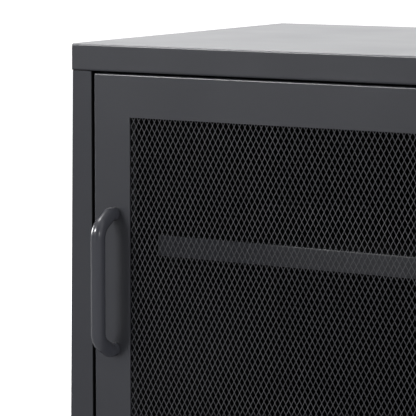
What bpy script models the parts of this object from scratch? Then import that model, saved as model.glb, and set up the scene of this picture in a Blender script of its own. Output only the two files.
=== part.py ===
"""Sheet-steel TV stand: two mesh doors on pivot pins either side of an open bay, on four round legs.

Frame: metres, +Z up. The front faces -Y. The origin is at floor level, under the middle of the stand's
bounding box, which includes the handles.
"""

import math

import bmesh
import bpy
from mathutils import Matrix, Vector

# Overall size
WIDTH = 1.200
DEPTH = 0.400
HEIGHT = 0.500
RAIL = 0.0235  # height of the lid's edge and of the front rail under the doors
LEG = 0.0835  # floor to the underside of the body

# Sheet metal
SHEET = 0.0012
GAP = 0.0003  # between pieces that touch
LID_OVERHANG = 0.0013
STILE = 0.0185  # width of the folded front stile of each side panel
STILE_DEPTH = 0.035
LIP = 0.016  # width of the returned lip under the lid's front edge
REAR_RETURN = 0.015
LID_RADIUS = 0.0018
CORNER_RADIUS = 0.0010

# Partitions, set so that the three bays are equally wide
PARTITION = 0.020
PARTITION_X = 0.1967

# Doors
DOOR_GAP_FREE = 0.0024
DOOR_GAP_HINGE = 0.0025
DOOR_GAP_ENDS = 0.0018
DOOR_THICK = 0.015
FRAME_SIDE = 0.0366
FRAME_END = 0.0373
FRAME_BACK = 0.013  # width of the returned flange at the back of the frame
MESH_OVERLAP = 0.008
MESH_THICK = 0.0012
STRIP_WIDTH = 0.012

# Pivots
PIVOT_IN = 0.010  # from the door's hinge edge
PIVOT_BACK = 0.0060  # behind the door's face
PIN_RADIUS = 0.0025
BUSH_BORE = 0.0026
BUSH_RADIUS = 0.0042
COLLAR_RADIUS = 0.0060
COLLAR = 0.0010
BUSH_LENGTH = 0.0045
PIVOT_HOLE = 0.0045
PIN_HOLE = 0.0028
PIN_HELD = 0.0120  # length inside the door frame
PIN_PROUD = 0.0053  # length past its end

# Handle: round bar with both ends bent back to the door
HANDLE_IN = 0.0198  # from the door's free edge
HANDLE_Z = 0.2922
HANDLE_HALF = 0.0600
BEND_HALF = 0.0492
HANDLE_OUT = 0.0255
KNEE_OUT = 0.0070  # the feet stand square to the door this far
BAR_RADIUS = 0.0064
BEND_RADIUS = 0.0140
KNEE_RADIUS = 0.0070
SCREW_RADIUS = 0.0020
SCREW_HOLE = 0.0023
SCREW_DEPTH = 0.0055
HEAD_RADIUS = 0.0040

# Magnetic catch: width, depth and half height
STRIKE = (0.0110, 0.0012, 0.020)
CATCH = (0.0150, 0.0140, 0.023)

# Shelves
SHELF_TOP = 0.3150
SHELF_LIP = 0.0200
SIDE_SHELF_BACK = 0.130  # front edge of a side bay's shelf, behind the front plane
CENTRE_SHELF_BACK = 0.012
CLIP = (0.013, 0.016, 0.0030)

# Cable holes in the back panels
CABLE_RADIUS = 0.030
CABLE_Z = 0.190

# Legs
LEG_X = 0.535
LEG_Y = 0.140
LEG_TOP_RADIUS = 0.0170
LEG_FOOT_RADIUS = 0.0115
LEG_PLATE = (0.060, 0.060, 0.0025)
GLIDE = 0.0070
GLIDE_RADIUS = 0.0115
STEM_RADIUS = 0.0038
STEM_LENGTH = 0.012

CHARCOAL = (0.061, 0.065, 0.074, 1.0)

BAR_SIDES = 16
REACH = HANDLE_OUT + BAR_RADIUS * math.cos(math.pi / BAR_SIDES)  # of the handles, in front of the body

TOP = HEIGHT
MIDDLE = REACH / 2
FRONT = MIDDLE - DEPTH / 2
BACK = MIDDLE + DEPTH / 2
FLOOR = LEG + RAIL
LID_UNDER = TOP - RAIL
CEILING = TOP - SHEET
FACE = FRONT + GAP  # front plane of stiles, partitions and doors
PANEL_REAR = BACK - 2 * SHEET - 2 * GAP
PARTITION_REAR = PANEL_REAR - SHEET - GAP
SIDE_X = WIDTH / 2 - LID_OVERHANG  # outer face of a side panel
STILE_X = SIDE_X - STILE
HINGE_X = PARTITION_X + PARTITION / 2
DOOR_FREE_X = STILE_X - DOOR_GAP_FREE
DOOR_HINGE_X = HINGE_X + DOOR_GAP_HINGE
DOOR_LOW = FLOOR + DOOR_GAP_ENDS
DOOR_HIGH = LID_UNDER - DOOR_GAP_ENDS
PIVOT_X = DOOR_HINGE_X + PIVOT_IN
PIVOT_Y = FACE + PIVOT_BACK
HANDLE_X = DOOR_FREE_X - HANDLE_IN


def material(name, colour, roughness, metallic):
    made = bpy.data.materials.new(name)
    made.use_nodes = True
    shader = made.node_tree.nodes["Principled BSDF"]
    shader.inputs["Base Color"].default_value = colour
    shader.inputs["Roughness"].default_value = roughness
    shader.inputs["Metallic"].default_value = metallic
    made.diffuse_color = colour
    return made


def clear_scene():
    for old in list(bpy.data.objects):
        bpy.data.objects.remove(old, do_unlink=True)


def put(name, mesh, finish, origin=(0, 0, 0)):
    """Links a bmesh, given in world coordinates, as an object with its origin at the given point."""
    colour, roughness, metallic = finish
    bmesh.ops.translate(mesh, verts=mesh.verts, vec=-Vector(origin))
    bmesh.ops.recalc_face_normals(mesh, faces=mesh.faces)
    data = bpy.data.meshes.new(name)
    mesh.to_mesh(data)
    mesh.free()
    made = bpy.data.objects.new(name, data)
    made.location = origin
    made.data.materials.append(material(name, colour, roughness, metallic))
    bpy.context.collection.objects.link(made)
    return made


def box_mesh(low, high):
    mesh = bmesh.new()
    size = Vector(high) - Vector(low)
    middle = (Vector(high) + Vector(low)) / 2
    bmesh.ops.create_cube(mesh, size=1.0)
    bmesh.ops.scale(mesh, verts=mesh.verts, vec=size)
    bmesh.ops.translate(mesh, verts=mesh.verts, vec=middle)
    return mesh


def round_edges(mesh, chosen, radius, segments=2):
    """Rounds the edges whose two ends both satisfy the test."""
    edges = [e for e in mesh.edges if chosen(*(v.co for v in e.verts))]
    bmesh.ops.bevel(
        mesh, geom=edges, offset=radius, segments=segments, profile=0.5, affect="EDGES"
    )


def prism_mesh(outline, low, high):
    """Extrudes a flat outline of (x, y) points from low to high along Z."""
    mesh = bmesh.new()
    face = mesh.faces.new([mesh.verts.new((x, y, low)) for x, y in outline])
    top = bmesh.ops.extrude_face_region(mesh, geom=[face])["geom"]
    moved = [v for v in top if isinstance(v, bmesh.types.BMVert)]
    bmesh.ops.translate(mesh, verts=moved, vec=(0, 0, high - low))
    return mesh


def turned_mesh(profile, steps, centre, axis="Z"):
    """Turns (radius, height) points about an axis through centre. Kept clear of the axis, they make a ring."""
    mesh = bmesh.new()
    closed = profile[0][0] > 0
    rings = []
    for radius, height in profile:
        if radius == 0:
            rings.append([mesh.verts.new((0, 0, height))])
            continue
        angles = [2 * math.pi * (i + 0.5) / steps for i in range(steps)]
        rings.append([mesh.verts.new((radius * math.cos(a), radius * math.sin(a), height)) for a in angles])
    count = len(rings)
    pairs = [(i, (i + 1) % count) for i in range(count if closed else count - 1)]
    for i, j in pairs:
        low, high = rings[i], rings[j]
        for k in range(steps):
            n = (k + 1) % steps
            corners = [low[k % len(low)], low[n % len(low)], high[n % len(high)], high[k % len(high)]]
            distinct = list(dict.fromkeys(corners))
            if len(distinct) > 2:
                mesh.faces.new(distinct)
    if axis == "Y":
        bmesh.ops.rotate(mesh, verts=mesh.verts, matrix=Matrix.Rotation(math.radians(90), 3, "X"))
    bmesh.ops.translate(mesh, verts=mesh.verts, vec=centre)
    return mesh


def cut(target, name, mesh):
    """Cuts a closed mesh, given in world coordinates, out of the target with a Boolean modifier."""
    bmesh.ops.recalc_face_normals(mesh, faces=mesh.faces)
    data = bpy.data.meshes.new(name)
    mesh.to_mesh(data)
    mesh.free()
    cutter = bpy.data.objects.new(name, data)
    cutter.hide_render = True
    cutter.display_type = "WIRE"
    bpy.context.collection.objects.link(cutter)
    modifier = target.modifiers.new(name, "BOOLEAN")
    modifier.operation = "DIFFERENCE"
    modifier.solver = "EXACT"
    modifier.object = cutter


def cut_box(target, name, low, high):
    cut(target, name, box_mesh(low, high))


def shade_round(obj):
    bpy.context.view_layer.objects.active = obj
    obj.data.shade_smooth()
    obj.data.set_sharp_from_angle(angle=math.radians(35))


def at_front(a, b, front):
    return abs(a.y - front) + abs(b.y - front) < 1e-6


def bore_mesh(radius, low, high, steps, centre, axis="Z"):
    return turned_mesh([(0, low), (radius, low), (radius, high), (0, high)], steps, centre, axis)


def sided(side, low, high):
    """The two corners of a box on one side of the stand: side is -1 for left, 1 for right."""
    xs = sorted((side * low[0], side * high[0]))
    return (xs[0], low[1], low[2]), (xs[1], high[1], high[2])


POWDER = (CHARCOAL, 0.42, 0.0)
DARK_MESH = ((0.050, 0.053, 0.060, 1.0), 0.45, 0.0)
BLACK = ((0.012, 0.012, 0.013, 1.0), 0.55, 0.0)
ZINC = ((0.55, 0.55, 0.53, 1.0), 0.35, 1.0)
NYLON = ((0.60, 0.60, 0.58, 1.0), 0.5, 0.0)


def make_lid():
    """The top: one sheet folded down all round, with a returned lip under the front edge."""
    mesh = box_mesh((-WIDTH / 2, FRONT, LID_UNDER), (WIDTH / 2, BACK, TOP))
    round_edges(mesh, lambda a, b: a.z + b.z > 2 * TOP - 0.001, LID_RADIUS, 3)
    lid = put("top_lid", mesh, POWDER)
    x = WIDTH / 2 - SHEET
    cut_box(lid, "cut_lid_inside", (-x, FRONT + SHEET, LID_UNDER + SHEET), (x, BACK - SHEET, CEILING))
    below = LID_UNDER - 0.010
    cut_box(lid, "cut_lid_mouth", (-x, FRONT + LIP, below), (x, BACK - SHEET, LID_UNDER + 2 * SHEET))
    above = LID_UNDER + 2 * SHEET
    for side, name in ((-1, "left"), (1, "right")):
        # The side panels rise past the ends of the lip.
        low, high = sided(side, (STILE_X + 0.012, FRONT + SHEET, below), (x, FRONT + LIP + 0.001, above))
        cut_box(lid, f"cut_lid_{name}_notch", low, high)
        bore = bore_mesh(PIVOT_HOLE, -0.01, 0.01, 24, (side * PIVOT_X, PIVOT_Y, LID_UNDER))
        cut(lid, f"cut_lid_{name}_pivot", bore)
    shade_round(lid)


def make_side(side, name):
    """A side panel folded round its front edge into the stile, and in at the back."""
    x, t = SIDE_X, SHEET
    outline = [
        (x, FACE),
        (x, BACK - t - GAP),
        (x - REAR_RETURN, BACK - t - GAP),
        (x - REAR_RETURN, BACK - 2 * t - GAP),
        (x - t, BACK - 2 * t - GAP),
        (x - t, FACE + t),
        (STILE_X + t, FACE + t),
        (STILE_X + t, FACE + STILE_DEPTH),
        (STILE_X, FACE + STILE_DEPTH),
        (STILE_X, FACE),
    ]
    mesh = prism_mesh([(side * px, py) for px, py in outline], LEG, CEILING - GAP)

    def front_corner(a, b):
        return abs(a.x - b.x) + abs(a.y - b.y) < 1e-6 and abs(a.y - FACE) < 1e-6

    round_edges(mesh, front_corner, CORNER_RADIUS)
    panel = put(f"{name}_side_panel", mesh, POWDER)
    corner = (STILE_X - 0.002, FACE - 0.01, LID_UNDER - GAP)
    low, high = sided(side, corner, (x + 0.01, FRONT + SHEET + GAP, TOP + 0.01))
    cut_box(panel, f"cut_{name}_side_top", low, high)
    low, high = sided(side, corner, (x - 2 * t, FACE + STILE_DEPTH + 0.01, TOP + 0.01))
    cut_box(panel, f"cut_{name}_stile_top", low, high)
    shade_round(panel)


def make_floor():
    """The floor of the cabinet: one sheet folded down all round, its front flange forming the lower rail."""
    x = SIDE_X - SHEET - GAP
    rear = PANEL_REAR
    mesh = box_mesh((-x, FACE, LEG), (x, rear, FLOOR))

    def top_front(a, b):
        return at_front(a, b, FACE) and a.z + b.z > 2 * FLOOR - 0.001

    round_edges(mesh, top_front, CORNER_RADIUS)
    tray = put("floor_tray", mesh, POWDER)
    for side, name in ((-1, "left"), (1, "right")):
        corner = (x + 0.01, FACE + STILE_DEPTH + GAP, FLOOR + 0.01)
        low, high = sided(side, (STILE_X - GAP, FACE - 0.01, LEG - 0.01), corner)
        cut_box(tray, f"cut_floor_{name}_corner", low, high)
    inside_x = STILE_X - GAP - SHEET
    step_y = FACE + STILE_DEPTH + GAP + SHEET
    below, under = LEG - 0.01, FLOOR - SHEET
    cut_box(tray, "cut_floor_front", (-inside_x, FACE + SHEET, below), (inside_x, step_y + 0.001, under))
    cut_box(tray, "cut_floor_inside", (-x + SHEET, step_y, below), (x - SHEET, rear - SHEET, under))
    for side, name in ((-1, "left"), (1, "right")):
        bore = bore_mesh(PIVOT_HOLE, -0.01, 0.01, 24, (side * PIVOT_X, PIVOT_Y, FLOOR))
        cut(tray, f"cut_floor_{name}_pivot", bore)
    shade_round(tray)


def make_partition(side, name):
    """A hollow double-skin wall between two bays, open at its top and bottom ends."""
    centre = side * PARTITION_X
    half = PARTITION / 2
    rear = PARTITION_REAR
    mesh = box_mesh((centre - half, FACE, FLOOR + GAP), (centre + half, rear, CEILING - GAP))

    def upright_front(a, b):
        return abs(a.z - b.z) > 0.1 and abs(a.y - FACE) < 1e-6

    round_edges(mesh, upright_front, CORNER_RADIUS)
    wall = put(f"partition_{name}", mesh, POWDER)
    t = SHEET
    low, high = (centre - half + t, FACE + t, FLOOR - 0.01), (centre + half - t, rear - t, TOP + 0.01)
    cut_box(wall, f"cut_partition_{name}_inside", low, high)
    low, high = (centre - 0.03, FACE - 0.01, LID_UNDER - GAP), (centre + 0.03, FRONT + LIP + GAP, TOP + 0.01)
    cut_box(wall, f"cut_partition_{name}_top", low, high)
    shade_round(wall)


def make_back(name, low_x, high_x):
    """A flat back sheet with one round cable hole."""
    low, high = (low_x, PANEL_REAR - SHEET, FLOOR + GAP), (high_x, PANEL_REAR, CEILING - GAP)
    panel = put(f"back_panel_{name}", box_mesh(low, high), POWDER)
    centre = ((low_x + high_x) / 2, PANEL_REAR, CABLE_Z)
    cut(panel, f"cut_cable_{name}", bore_mesh(CABLE_RADIUS, -0.01, 0.01, 24, centre, "Y"))
    shade_round(panel)


def make_shelf(name, low_x, high_x, front, rear):
    """A shelf folded down on all four sides."""
    low, top = SHELF_TOP - SHELF_LIP, SHELF_TOP
    mesh = box_mesh((low_x, front, low), (high_x, rear, top))
    round_edges(mesh, lambda a, b: at_front(a, b, front) and a.z + b.z > 2 * top - 0.001, CORNER_RADIUS)
    shelf = put(f"shelf_{name}", mesh, POWDER)
    t = SHEET
    cut_box(shelf, f"cut_shelf_{name}", (low_x + t, front + t, low - 0.01), (high_x - t, rear - t, top - t))
    shade_round(shelf)
    length, depth, thick = CLIP
    spots = (("front", front + 0.045), ("rear", rear - 0.045))
    for end, wall, inward in (("left", low_x, 1), ("right", high_x, -1)):
        for place, y in spots:
            xs = sorted((wall - inward * 0.0005, wall + inward * length))
            clip = box_mesh((xs[0], y - depth / 2, low - GAP - thick), (xs[1], y + depth / 2, low - GAP))
            put(f"clip_{name}_{end}_{place}", clip, ZINC)


def make_bush(name, side, base, up):
    """A collared nylon bush: the collar takes the door's end, the sleeve sits in the sheet's hole."""
    sleeve = up * (COLLAR + BUSH_LENGTH)
    collar = up * COLLAR
    profile = [(BUSH_BORE, 0), (COLLAR_RADIUS, 0), (COLLAR_RADIUS, collar)]
    profile += [(BUSH_RADIUS, collar), (BUSH_RADIUS, sleeve), (BUSH_BORE, sleeve)]
    bush = put(name, turned_mesh(profile, 24, (side * PIVOT_X, PIVOT_Y, base)), NYLON)
    shade_round(bush)


def make_door(side, name):
    """A pressed frame round an expanded-metal sheet, turning on pins near its inner edge."""
    origin = (side * PIVOT_X, PIVOT_Y, DOOR_LOW)
    near, far, back = DOOR_HINGE_X, DOOR_FREE_X, FACE + DOOR_THICK
    low, high = sided(side, (near, FACE, DOOR_LOW), (far, back, DOOR_HIGH))
    mesh = box_mesh(low, high)
    round_edges(mesh, lambda a, b: at_front(a, b, FACE), CORNER_RADIUS)
    frame = put(f"{name}_door_frame", mesh, POWDER, origin)
    t = SHEET
    low, high = sided(side, (near + t, FACE + t, DOOR_LOW + t), (far - t, back - t, DOOR_HIGH - t))
    cut_box(frame, f"cut_{name}_frame_inside", low, high)
    inset = FRAME_BACK
    corner = (far - inset, back + 0.01, DOOR_HIGH - inset)
    low, high = sided(side, (near + inset, back - 2 * t, DOOR_LOW + inset), corner)
    cut_box(frame, f"cut_{name}_frame_back", low, high)
    opening = (near + FRAME_SIDE, DOOR_LOW + FRAME_END, far - FRAME_SIDE, DOOR_HIGH - FRAME_END)
    low, high = sided(side, (opening[0], FACE - 0.01, opening[1]), (opening[2], FACE + 2 * t, opening[3]))
    cut_box(frame, f"cut_{name}_frame_window", low, high)
    for end, z in (("low", DOOR_LOW), ("high", DOOR_HIGH)):
        bore = bore_mesh(PIN_HOLE, -0.004, 0.004, 24, (side * PIVOT_X, PIVOT_Y, z))
        cut(frame, f"cut_{name}_pin_{end}", bore)
    for end, sign in (("low", -1), ("high", 1)):
        centre = (side * HANDLE_X, FACE, HANDLE_Z + sign * HANDLE_HALF)
        cut(frame, f"cut_{name}_screw_{end}", bore_mesh(SCREW_HOLE, -0.004, 0.004, 16, centre, "Y"))
    shade_round(frame)
    make_infill(side, name, opening, origin)
    make_handle(side, name, origin)
    make_pins(side, name, origin)
    make_catch(side, name, origin)


def make_infill(side, name, opening, origin):
    """The mesh sheet behind the frame's opening, and the strips that clamp its two upright edges."""
    near, low_z, far, high_z = opening
    lap = MESH_OVERLAP
    y = FACE + SHEET + GAP
    corners = (near - lap, y, low_z - lap), (far + lap, y + MESH_THICK, high_z + lap)
    put(f"{name}_door_mesh", box_mesh(*sided(side, *corners)), DARK_MESH, origin)
    y += MESH_THICK + GAP
    for place, x in (("hinge", near - lap), ("free", far + lap - STRIP_WIDTH)):
        corners = (x, y, low_z - lap), (x + STRIP_WIDTH, y + SHEET, high_z + lap)
        put(f"{name}_door_strip_{place}", box_mesh(*sided(side, *corners)), POWDER, origin)


def make_pins(side, name, origin):
    """The two pins the door turns on, each held in an end of the frame."""
    chamfer = 0.0004
    for end, z, up in (("low", DOOR_LOW, -1), ("high", DOOR_HIGH, 1)):
        bottom, top = sorted((z - up * PIN_HELD, z + up * PIN_PROUD))
        profile = [(0, bottom), (PIN_RADIUS - chamfer, bottom), (PIN_RADIUS, bottom + chamfer)]
        profile += [(PIN_RADIUS, top - chamfer), (PIN_RADIUS - chamfer, top), (0, top)]
        centre = (side * PIVOT_X, PIVOT_Y, 0)
        shade_round(put(f"{name}_pivot_pin_{end}", turned_mesh(profile, 24, centre), ZINC, origin))


def make_catch(side, name, origin):
    """The magnetic catch behind the free edge, and the steel strike plate that meets it."""
    width, thick, half = STRIKE
    y = FACE + DOOR_THICK + GAP
    edge = DOOR_FREE_X - 0.0010
    corners = (edge - width, y, HANDLE_Z - half), (edge, y + thick, HANDLE_Z + half)
    put(f"{name}_strike_plate", box_mesh(*sided(side, *corners)), ZINC, origin)
    y += thick + GAP
    width, deep, half = CATCH
    edge = STILE_X - GAP
    corners = (edge - width, y, HANDLE_Z - half), (edge, y + deep, HANDLE_Z + half)
    put(f"{name}_magnet_catch", box_mesh(*sided(side, *corners)), BLACK)


def rounded(points, radii, steps):
    """A line through points, with an arc of each radius at each inner one."""
    path = [points[0]]
    for before, corner, after, radius in zip(points, points[1:], points[2:], radii):
        a = (before - corner).normalized()
        b = (after - corner).normalized()
        turn = math.pi - a.angle(b)
        start = corner + a * radius * math.tan(turn / 2)
        centre = corner + (a + b).normalized() * radius / math.cos(turn / 2)
        spoke = start - centre
        way = 1 if a.x * b.y - a.y * b.x < 0 else -1
        for i in range(steps + 1):
            path.append(centre + Matrix.Rotation(way * turn * i / steps, 2) @ spoke)
    return path + [points[-1]]


def handle_path():
    """Centre line of the handle from its lower foot to its upper one, as (distance out, height) points."""
    foot = Vector((0.0, -HANDLE_HALF))
    knee = Vector((KNEE_OUT, -HANDLE_HALF))
    bend = Vector((HANDLE_OUT, -BEND_HALF))
    lower = rounded([foot, knee, bend, Vector((HANDLE_OUT, 0.0))], (KNEE_RADIUS, BEND_RADIUS), 4)[:-1]
    return lower + [Vector((p.x, -p.y)) for p in reversed(lower)]


def make_handle(side, name, origin):
    """A round bar swept along the handle's line, with flat feet bored for the screws."""
    steps = BAR_SIDES
    path = handle_path()
    mesh = bmesh.new()
    rings = []
    face = FACE - GAP
    for i, point in enumerate(path):
        before = path[max(i - 1, 0)]
        after = path[min(i + 1, len(path) - 1)]
        along = (after - before).normalized()
        if 0 < i < len(path) - 1:
            along = ((point - before).normalized() + (after - point).normalized()).normalized()
        across = Vector((along.y, -along.x))
        ring = []
        for k in range(steps):
            a = 2 * math.pi * (k + 0.5) / steps
            sideways = BAR_RADIUS * math.cos(a)
            offset = across * BAR_RADIUS * math.sin(a)
            out, up = point.x + offset.x, point.y + offset.y
            if i in (0, len(path) - 1):
                up -= along.y / along.x * out
                out = 0.0
            ring.append(mesh.verts.new((side * HANDLE_X + sideways, face - out, HANDLE_Z + up)))
        rings.append(ring)
    for low, high in zip(rings, rings[1:]):
        for k in range(steps):
            n = (k + 1) % steps
            mesh.faces.new((low[k], low[n], high[n], high[k]))
    mesh.faces.new(rings[0])
    mesh.faces.new(rings[-1])
    handle = put(f"{name}_handle", mesh, POWDER, origin)
    shade_round(handle)
    shank = SHEET + 2 * GAP + SCREW_DEPTH
    profile = [(0, -0.0026), (0.0028, -0.0026), (HEAD_RADIUS, -0.0018), (HEAD_RADIUS, 0)]
    profile += [(SCREW_RADIUS, 0), (SCREW_RADIUS, shank), (0, shank)]
    for end, sign in (("low", -1), ("high", 1)):
        z = HANDLE_Z + sign * HANDLE_HALF
        bore = bore_mesh(SCREW_HOLE, -0.004, SCREW_DEPTH + GAP, 16, (side * HANDLE_X, face, z), "Y")
        cut(handle, f"cut_{name}_handle_{end}", bore)
        head = (side * HANDLE_X, FACE + SHEET + GAP, z)
        shade_round(put(f"{name}_handle_screw_{end}", turned_mesh(profile, 16, head, "Y"), ZINC, origin))


def make_leg(side_x, side_y, name):
    """A tapered round leg with a square plate, and the glide under it."""
    x, y = side_x * LEG_X, MIDDLE + side_y * LEG_Y
    plate_top = FLOOR - SHEET - GAP
    plate_low = plate_top - LEG_PLATE[2]
    foot = GLIDE + GAP
    join = plate_low + 0.001
    taper = [(0, foot), (LEG_FOOT_RADIUS - 0.0008, foot), (LEG_FOOT_RADIUS, foot + 0.0008)]
    taper += [(LEG_TOP_RADIUS, join), (0, join)]
    leg = put(f"leg_{name}", turned_mesh(taper, 24, (x, y, 0)), POWDER)
    half = LEG_PLATE[0] / 2
    plate = box_mesh((x - half, y - half, plate_low), (x + half, y + half, plate_top))
    round_edges(plate, lambda a, b: abs(a.z - b.z) > 0.001, 0.008, 3)
    joined = bpy.data.meshes.new(f"leg_plate_{name}")
    plate.to_mesh(joined)
    plate.free()
    other = bpy.data.objects.new(f"leg_plate_{name}", joined)
    other.hide_render = True
    other.display_type = "WIRE"
    bpy.context.collection.objects.link(other)
    union = leg.modifiers.new("plate", "BOOLEAN")
    union.operation = "UNION"
    union.solver = "EXACT"
    union.object = other
    stem_top = GLIDE + STEM_LENGTH
    bore = bore_mesh(STEM_RADIUS + 0.0004, foot - 0.01, stem_top + 2 * GAP, 16, (x, y, 0))
    cut(leg, f"cut_leg_{name}", bore)
    shade_round(leg)
    pad = [(0, 0), (GLIDE_RADIUS - 0.001, 0), (GLIDE_RADIUS, 0.001), (GLIDE_RADIUS, GLIDE - 0.0012)]
    pad += [(GLIDE_RADIUS - 0.0012, GLIDE), (STEM_RADIUS, GLIDE), (STEM_RADIUS, stem_top), (0, stem_top)]
    glide = put(f"glide_{name}", turned_mesh(pad, 24, (x, y, 0)), BLACK)
    shade_round(glide)


def main():
    clear_scene()
    make_lid()
    make_floor()
    for side, name in ((-1, "left"), (1, "right")):
        make_side(side, name)
        make_partition(side, name)
        make_door(side, name)
        make_bush(f"{name}_bush_low", side, FLOOR + GAP + COLLAR, -1)
        make_bush(f"{name}_bush_high", side, LID_UNDER - GAP - COLLAR, 1)

    outer = SIDE_X - SHEET - GAP
    make_back("left", -outer, -PARTITION_X - GAP)
    make_back("centre", -PARTITION_X, PARTITION_X)
    make_back("right", PARTITION_X + GAP, outer)

    shelf_rear = PANEL_REAR - 0.0065
    inner = PARTITION_X - PARTITION / 2 - 0.0008
    side_low, side_high = HINGE_X + 0.0008, SIDE_X - SHEET - 0.0008
    make_shelf("left", -side_high, -side_low, FRONT + SIDE_SHELF_BACK, shelf_rear)
    make_shelf("centre", -inner, inner, FRONT + CENTRE_SHELF_BACK, shelf_rear)
    make_shelf("right", side_low, side_high, FRONT + SIDE_SHELF_BACK, shelf_rear)

    for side_x, across in ((-1, "left"), (1, "right")):
        for side_y, place in ((-1, "front"), (1, "rear")):
            make_leg(side_x, side_y, f"{across}_{place}")


main()
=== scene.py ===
"""A low sheet-steel TV stand with two expanded-metal doors: its surfaces, studio and camera.

Metres, +Z up, front towards -Y. Each piece is built where its CAD node lies and rides on its body.
"""

import math

import bmesh
import bpy
from mathutils import Matrix, Vector


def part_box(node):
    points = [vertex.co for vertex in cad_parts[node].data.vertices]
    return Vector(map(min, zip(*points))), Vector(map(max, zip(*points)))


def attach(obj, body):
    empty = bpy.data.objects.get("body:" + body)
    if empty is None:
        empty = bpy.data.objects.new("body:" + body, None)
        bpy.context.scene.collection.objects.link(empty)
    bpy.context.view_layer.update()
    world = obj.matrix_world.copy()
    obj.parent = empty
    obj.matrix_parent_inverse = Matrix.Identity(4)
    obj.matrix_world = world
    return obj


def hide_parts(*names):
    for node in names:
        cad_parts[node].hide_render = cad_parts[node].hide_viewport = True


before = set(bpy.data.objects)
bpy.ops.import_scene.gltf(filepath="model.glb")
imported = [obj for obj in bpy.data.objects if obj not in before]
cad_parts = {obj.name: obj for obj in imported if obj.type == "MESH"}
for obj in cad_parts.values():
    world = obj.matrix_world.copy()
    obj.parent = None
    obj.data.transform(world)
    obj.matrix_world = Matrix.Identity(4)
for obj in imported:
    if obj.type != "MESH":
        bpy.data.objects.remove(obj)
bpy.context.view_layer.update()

SHEET = 0.0012  # thickness of the folded steel
FOLD = 0.0020  # outer radius of a fold
FRAME_FOLD = 0.0016  # outer radius of the door frames' folds
THIN = 0.0008  # thickness of the side panels' sheet
CRISP = 0.0009  # outer radius of its folds and the partitions'. It stays above THIN
STILE_WIDER = 0.0003  # how much nearer the door each front stile comes than in CAD
SPLAY = 0.0055  # how far each side panel leans out at its foot
SIDE_OUT = 0.0009  # and how far out it stands at the lid
FOLD_STEPS = 4
LID_LAP = 0.0011  # the lid laps this much further over each side
LID_CLEAR = 0.0003  # gap under the lid, over the sheets that stand below it
CUT_EDGE = 0.00022  # softening of a sheared edge
LIP_TAPER = 0.017  # how much shorter the lid's lip is at its free edge, at each end
STILE_RETURN = 0.035  # depth of the return behind each front stile
REAR_RETURN = 0.015  # width of each side panel's return at the back
LIP_DEPTH = 0.0155  # how far back the lip reaches under the lid
SHELF_CLEAR = 0.0060  # gap at each end of a shelf, over its clips
BEYOND = 0.01  # how far a cutter reaches past what it cuts

CELL_WIDTH = 0.00521  # expanded metal: short way of a diamond
CELL_HEIGHT = 0.00950  # and its long way, which stands upright
STRAND = 0.00027  # half width of a strand
BOND = 0.00024  # half height of the flat where strands join
TWIST = 0.00002  # how far a strand leans out of the sheet's plane, each way
SKEW = 0.028  # sideways drift of the columns, per metre of height
MESH_THICK = 0.0006

BAR_RADIUS = 0.0064  # the handle's round bar
BAR_SIDES = 44
HANDLE_HALF = 0.0600  # half the distance between the centres of its feet
BEND_HALF = 0.0492  # and between the ends of its slanted parts
HANDLE_OUT = 0.0255  # how far its grip stands out from the door
KNEE_OUT = 0.0070  # and how far the knee between foot and slanted part does
BEND_RADIUS = 0.0140
KNEE_RADIUS = 0.0070
BEND_STEPS = 10

CLIP_THICK = 0.0016
CLIP_DROP = 0.017  # height of a clip's upright leg
CLIP_FOLD = 0.0024
LEG_PLATE = 0.0025  # thickness of the plate on top of a leg
LEG_PLATE_CORNER = 0.008
CABLE_HOLE = 0.0300  # radius of a cable hole
CABLE_HEIGHT = 0.190  # and the height of its centre
RIM_CENTRE = 0.0316  # radius of the rolled rim's centre line
RIM_ROLL = 0.0013  # and of its roll
SCREW_RADIUS = 0.0036
SCREW_TALL = 0.0019

SIDES = (("left", -1), ("right", 1))
BAYS = ("left", "centre", "right")


# ---------------------------------------------------------------- materials


def group(name, inputs, outputs):
    """A shader node group with float, colour or vector sockets, and its input and output nodes."""
    made = bpy.data.node_groups.new(name, "ShaderNodeTree")
    kinds = {
        "value": "NodeSocketFloat",
        "colour": "NodeSocketColor",
        "vector": "NodeSocketVector",
    }
    for label, kind, default in inputs:
        socket = made.interface.new_socket(label, in_out="INPUT", socket_type=kinds[kind])
        socket.default_value = default
    for label, kind in outputs:
        made.interface.new_socket(label, in_out="OUTPUT", socket_type=kinds[kind])
    return made, made.nodes.new("NodeGroupInput"), made.nodes.new("NodeGroupOutput")


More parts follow.
